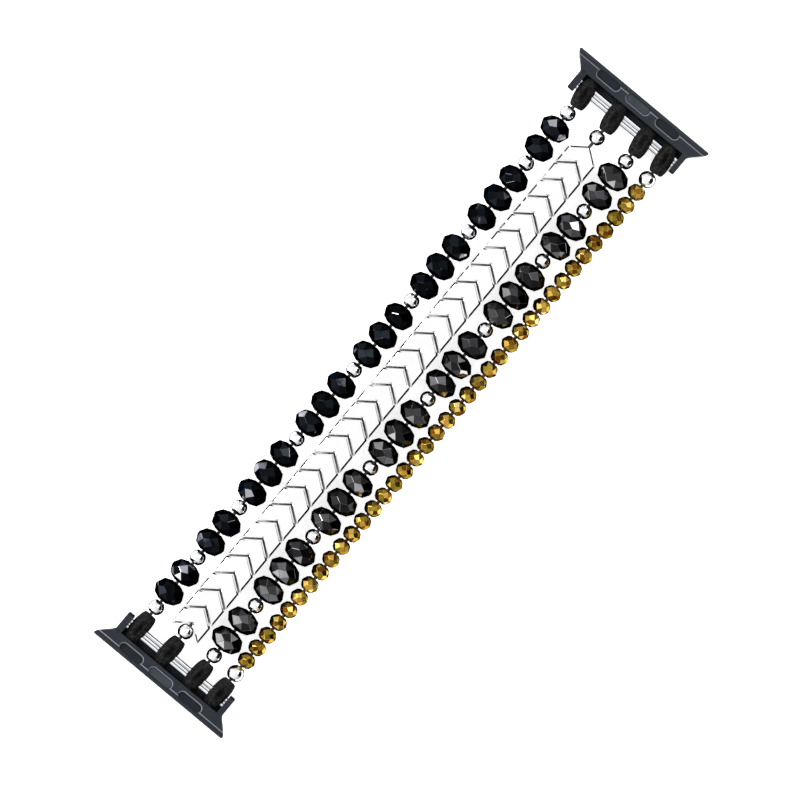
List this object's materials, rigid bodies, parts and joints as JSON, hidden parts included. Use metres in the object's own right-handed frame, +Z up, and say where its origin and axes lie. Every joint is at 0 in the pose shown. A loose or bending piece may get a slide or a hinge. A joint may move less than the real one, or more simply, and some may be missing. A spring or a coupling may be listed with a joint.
{
  "type": "watch band",
  "caption": "Elastic beaded watch band with strands of faceted stone, crystal and gold beads and silver chevrons, held on rods between metal lugs that slide into a watch case.",
  "frame": {"origin": "under the middle of the flat band, on the surface that it lies on", "axes": "+X along the band towards lug B, where the chevrons point; +Y across it towards the agate strand; +Z up, out of the face with the latches"},
  "size_m": [0.1142, 0.025, 0.0053],
  "materials": {
    "agate": "polished, faceted",
    "crystal": "metal-coated, faceted",
    "gold": "polished, faceted",
    "silver": "mirror polish",
    "matte_black": "matte",
    "steel": "bright drawn",
    "lug_metal": "satin slate blue",
    "latch_metal": "satin slate grey",
    "elastic": "smooth"
  },
  "bodies": {
    "row_1": {"agate_beads_1": "agate", "silver_chevrons_1": "silver", "crystal_beads_1": "crystal", "gold_beads_1": "gold", "spacer_balls_1": "silver"},
    "row_2": {"agate_beads_2": "agate", "silver_chevrons_2": "silver", "crystal_beads_2": "crystal", "gold_beads_2": "gold"},
    "row_3": {"agate_beads_3": "agate", "silver_chevrons_3": "silver", "crystal_beads_3": "crystal", "gold_beads_3": "gold", "spacer_balls_3": "silver"},
    "row_4": {"agate_beads_4": "agate", "silver_chevrons_4": "silver", "crystal_beads_4": "crystal", "gold_beads_4": "gold", "spacer_balls_4": "silver"},
    "row_5": {"agate_beads_5": "agate", "silver_chevrons_5": "silver", "crystal_beads_5": "crystal", "gold_beads_5": "gold", "spacer_balls_5": "silver", "elastic_cords": "elastic"},
    "row_6": {"agate_beads_6": "agate", "silver_chevrons_6": "silver", "crystal_beads_6": "crystal", "gold_beads_6": "gold"},
    "row_7": {"agate_beads_7": "agate", "silver_chevrons_7": "silver", "crystal_beads_7": "crystal", "gold_beads_7": "gold", "spacer_balls_7": "silver"},
    "row_8": {"agate_beads_8": "agate", "silver_chevrons_8": "silver", "crystal_beads_8": "crystal", "gold_beads_8": "gold", "spacer_balls_8": "silver"},
    "row_9": {"agate_beads_9": "agate", "silver_chevrons_9": "silver", "crystal_beads_9": "crystal", "gold_beads_9": "gold", "spacer_balls_9": "silver"},
    "row_10": {"agate_beads_10": "agate", "silver_chevrons_10": "silver", "crystal_beads_10": "crystal", "gold_beads_10": "gold"},
    "end_a": {"end_balls_a": "silver"},
    "lug_a": {"lug_frame_a": "lug_metal", "rods_a": "steel", "end_beads_a": "matte_black", "latch_spring_a": "steel"},
    "latch_a": {"latch_button_a": "latch_metal"},
    "end_b": {"end_balls_b": "silver"},
    "lug_b": {"lug_frame_b": "lug_metal", "rods_b": "steel", "end_beads_b": "matte_black", "latch_spring_b": "steel"},
    "latch_b": {"latch_button_b": "latch_metal"}
  },
  "joints": [
    {"name": "fold_4_5", "type": "hinge", "parent": "row_5", "child": "row_4", "pos_m": [-0.01081, 0, 0.00265], "axis": [0, 1, 0], "range_deg": [0, 22], "stiffness_Nm_per_rad": 0.002, "deforming": ["elastic_cords"]},
    {"name": "fold_3_4", "type": "hinge", "parent": "row_4", "child": "row_3", "pos_m": [-0.02054, 0, 0.00265], "axis": [0, 1, 0], "range_deg": [0, 22], "stiffness_Nm_per_rad": 0.002},
    {"name": "fold_2_3", "type": "hinge", "parent": "row_3", "child": "row_2", "pos_m": [-0.03027, 0, 0.00265], "axis": [0, 1, 0], "range_deg": [0, 22], "stiffness_Nm_per_rad": 0.002},
    {"name": "fold_1_2", "type": "hinge", "parent": "row_2", "child": "row_1", "pos_m": [-0.03771, 0, 0.00265], "axis": [0, 1, 0], "range_deg": [0, 22], "stiffness_Nm_per_rad": 0.002},
    {"name": "fold_end_a", "type": "hinge", "parent": "row_1", "child": "end_a", "pos_m": [-0.04822, 0, 0.00265], "axis": [0, 1, 0], "range_deg": [0, 22], "stiffness_Nm_per_rad": 0.002},
    {"name": "fold_5_6", "type": "hinge", "parent": "row_5", "child": "row_6", "pos_m": [0.00265, 0, 0.00265], "axis": [0, -1, 0], "range_deg": [0, 22], "stiffness_Nm_per_rad": 0.002},
    {"name": "fold_6_7", "type": "hinge", "parent": "row_6", "child": "row_7", "pos_m": [0.01009, 0, 0.00265], "axis": [0, -1, 0], "range_deg": [0, 22], "stiffness_Nm_per_rad": 0.002},
    {"name": "fold_7_8", "type": "hinge", "parent": "row_7", "child": "row_8", "pos_m": [0.01981, 0, 0.00265], "axis": [0, -1, 0], "range_deg": [0, 22], "stiffness_Nm_per_rad": 0.002},
    {"name": "fold_8_9", "type": "hinge", "parent": "row_8", "child": "row_9", "pos_m": [0.02954, 0, 0.00265], "axis": [0, -1, 0], "range_deg": [0, 22], "stiffness_Nm_per_rad": 0.002},
    {"name": "fold_9_10", "type": "hinge", "parent": "row_9", "child": "row_10", "pos_m": [0.03927, 0, 0.00265], "axis": [0, -1, 0], "range_deg": [0, 22], "stiffness_Nm_per_rad": 0.002},
    {"name": "fold_end_b", "type": "hinge", "parent": "row_10", "child": "end_b", "pos_m": [0.04822, 0, 0.00265], "axis": [0, -1, 0], "range_deg": [0, 22], "stiffness_Nm_per_rad": 0.002},
    {"name": "stretch_a", "type": "slide", "parent": "end_a", "child": "lug_a", "axis": [-1, 0, 0], "range_m": [0, 0.003], "stiffness_N_per_m": 60},
    {"name": "latch_press_a", "type": "slide", "parent": "lug_a", "child": "latch_a", "axis": [0, 0, -1], "range_m": [0, 0.0006], "stiffness_N_per_m": 300, "deforming": ["latch_spring_a"]},
    {"name": "stretch_b", "type": "slide", "parent": "end_b", "child": "lug_b", "axis": [1, 0, 0], "range_m": [0, 0.003], "stiffness_N_per_m": 60},
    {"name": "latch_press_b", "type": "slide", "parent": "lug_b", "child": "latch_b", "axis": [0, 0, -1], "range_m": [0, 0.0006], "stiffness_N_per_m": 300, "deforming": ["latch_spring_b"]}
  ]
}
